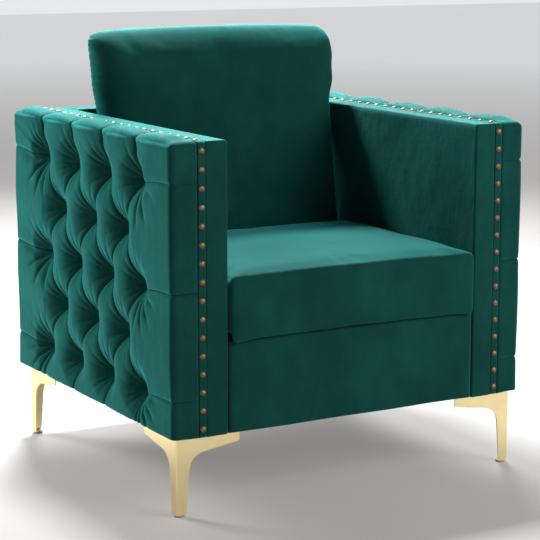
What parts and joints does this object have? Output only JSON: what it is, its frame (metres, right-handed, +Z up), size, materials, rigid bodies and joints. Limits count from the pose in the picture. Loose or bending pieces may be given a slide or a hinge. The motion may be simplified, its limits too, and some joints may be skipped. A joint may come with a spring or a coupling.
{
  "type": "club chair",
  "caption": "Square velvet club chair with diamond-tufted outer arms, nailhead trim, loose seat and back cushions and flared metal legs.",
  "frame": {"origin": "on the floor, under the middle of the chair's overall box", "axes": "+Z up, +Y from the chair's front to its back, +X to the right as seen from the front"},
  "size_m": [0.8, 0.765, 0.8853],
  "materials": {
    "velvet": "matte",
    "lining": "matte",
    "foam": "matte",
    "webbing": "matte",
    "timber": "matte",
    "board": "matte",
    "steel": "satin",
    "leg_gold": "polished",
    "nail_brass": "satin",
    "glide_plastic": "satin"
  },
  "bodies": {
    "frame": {"back_lower_rail": "timber", "back_pad": "velvet", "back_top_rail": "timber", "back_webbing": "webbing", "corner_blocks": "timber", "deck_cloth": "lining", "deck_pad": "foam", "dust_cover": "lining", "front_border": "velvet", "left_arm_bottom_rail": "timber", "left_arm_front_post": "timber", "left_arm_rear_post": "timber", "left_arm_top_rail": "timber", "left_front_glide": "glide_plastic", "left_front_leg": "leg_gold", "left_front_nails": "nail_brass", "left_inner_arm_liner": "board", "left_inner_arm_pad": "velvet", "left_nail_band": "velvet", "left_outer_arm_board": "board", "left_outer_arm_pad": "velvet", "left_rear_glide": "glide_plastic", "left_rear_leg": "leg_gold", "left_seat_side_rail": "timber", "left_top_nails": "nail_brass", "leg_screws": "steel", "outside_back_panel": "velvet", "right_arm_bottom_rail": "timber", "right_arm_front_post": "timber", "right_arm_rear_post": "timber", "right_arm_top_rail": "timber", "right_front_glide": "glide_plastic", "right_front_leg": "leg_gold", "right_front_nails": "nail_brass", "right_inner_arm_liner": "board", "right_inner_arm_pad": "velvet", "right_nail_band": "velvet", "right_outer_arm_board": "board", "right_outer_arm_pad": "velvet", "right_rear_glide": "glide_plastic", "right_rear_leg": "leg_gold", "right_seat_side_rail": "timber", "right_top_nails": "nail_brass", "seat_front_rail": "timber", "seat_rear_rail": "timber", "seat_springs": "steel", "spring_clips": "steel"},
    "seat_cushion": {"seat_cushion_cover": "velvet", "seat_cushion_core": "foam"},
    "back_cushion": {"back_cushion_cover": "velvet", "back_cushion_core": "foam"}
  },
  "joints": [
    {"name": "seat_cushion_lift", "type": "slide", "parent": "frame", "child": "seat_cushion", "axis": [0, 0, 1], "range_m": [0, 0.4]},
    {"name": "back_cushion_lift", "type": "slide", "parent": "frame", "child": "back_cushion", "axis": [0, 0.1444, 0.9895], "range_m": [0, 0.4]}
  ]
}
